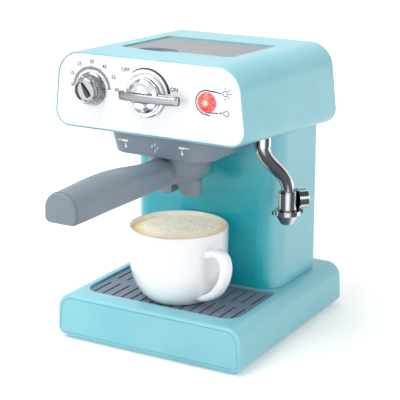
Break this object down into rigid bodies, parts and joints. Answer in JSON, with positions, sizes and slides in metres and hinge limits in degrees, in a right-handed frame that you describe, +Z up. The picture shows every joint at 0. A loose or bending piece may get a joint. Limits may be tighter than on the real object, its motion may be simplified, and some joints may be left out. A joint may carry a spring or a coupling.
{
  "type": "toy coffee maker",
  "caption": "Toy coffee maker with a drip-tray base, column, control head, swinging portafilter, steam wand and play cup.",
  "frame": {"origin": "centre of the base's footprint, on the surface that the feet stand on", "axes": "+Z up, +X to the right as seen from the front, -Y to the front, where the controls and the handle are"},
  "size_m": [0.1956, 0.3086, 0.25],
  "materials": {
    "turquoise_shell": "satin gloss",
    "white_panel": "gloss",
    "grey_housing": "satin",
    "tray_grey": "satin",
    "lid_grey": "satin",
    "clear_tank": "clear",
    "dark_chrome": "polished",
    "chrome": "polished",
    "red_lens": "translucent",
    "steel": "satin",
    "rubber": "matt",
    "white_moulding": "matt",
    "battery_case": "gloss",
    "board_green": "satin",
    "motor_can": "satin",
    "hose": "matt",
    "cup_white": "gloss",
    "foam_cream": "matt"
  },
  "bodies": {
    "machine": {"base_cover": "turquoise_shell", "base_pan": "turquoise_shell", "rubber_feet": "rubber", "battery_door": "turquoise_shell", "battery_box": "white_moulding", "battery_cells": "battery_case", "battery_contacts": "steel", "base_screws": "steel", "column_shell": "turquoise_shell", "column_back_cover": "turquoise_shell", "back_cover_screws": "steel", "head_shell": "turquoise_shell", "front_panel": "white_panel", "water_tank": "clear_tank", "circuit_board": "board_green", "lamp_switch": "white_moulding", "light_led": "red_lens", "timer_clockwork": "white_moulding", "power_switch": "white_moulding", "group_housing": "grey_housing", "shower_plate": "white_moulding", "wand_socket": "white_moulding", "water_pump": "motor_can", "suction_hose": "hose", "delivery_hose": "hose", "speaker": "motor_can"},
    "timer": {"timer_knob": "dark_chrome", "timer_spindle": "steel"},
    "power": {"power_ring": "chrome", "power_dome": "chrome", "power_lever": "dark_chrome", "power_spindle": "steel"},
    "lamp": {"lamp_button": "red_lens"},
    "lid": {"tank_lid": "lid_grey"},
    "portafilter": {"portafilter_bowl": "grey_housing", "twin_spout": "grey_housing", "handle_neck": "grey_housing", "handle_grip": "grey_housing", "handle_end_cap": "grey_housing"},
    "wand": {"wand_pivot": "chrome", "wand_arm": "chrome", "wand_collar": "chrome", "wand_barrel": "chrome", "wand_flange": "chrome", "wand_nozzle": "chrome"},
    "grille": {"drip_grille": "tray_grey"},
    "cup": {"play_cup": "cup_white", "foam_insert": "foam_cream"}
  },
  "joints": [
    {"name": "timer_turn", "type": "hinge", "parent": "machine", "child": "timer", "pos_m": [-0.052, -0.0915, 0.2205], "axis": [0, 1, 0], "range_deg": [-60, 120]},
    {"name": "power_turn", "type": "hinge", "parent": "machine", "child": "power", "pos_m": [0, -0.0915, 0.2205], "axis": [0, 1, 0], "range_deg": [-105, 0]},
    {"name": "lamp_press", "type": "slide", "parent": "machine", "child": "lamp", "axis": [0, 1, 0], "range_m": [0, 0.0012], "stiffness_N_per_m": 400, "springref_m": -0.0015},
    {"name": "lid_open", "type": "hinge", "parent": "machine", "child": "lid", "pos_m": [0, 0.02929, 0.24399], "axis": [-1, 0, 0], "range_deg": [0, 95]},
    {"name": "portafilter_swing", "type": "hinge", "parent": "machine", "child": "portafilter", "pos_m": [0, -0.04, 0.1705], "axis": [0, 0, 1], "range_deg": [-45, 45]},
    {"name": "wand_swing", "type": "hinge", "parent": "machine", "child": "wand", "pos_m": [0.074, -0.034, 0.18], "axis": [0, 0, 1], "range_deg": [-110, 15]},
    {"name": "grille_lift", "type": "slide", "parent": "machine", "child": "grille", "axis": [0, 0, 1], "range_m": [0, 0.015]},
    {"name": "cup_lift", "type": "slide", "parent": "grille", "child": "cup", "axis": [0, -0.9781, 0.2079], "range_m": [0, 0.11]}
  ]
}
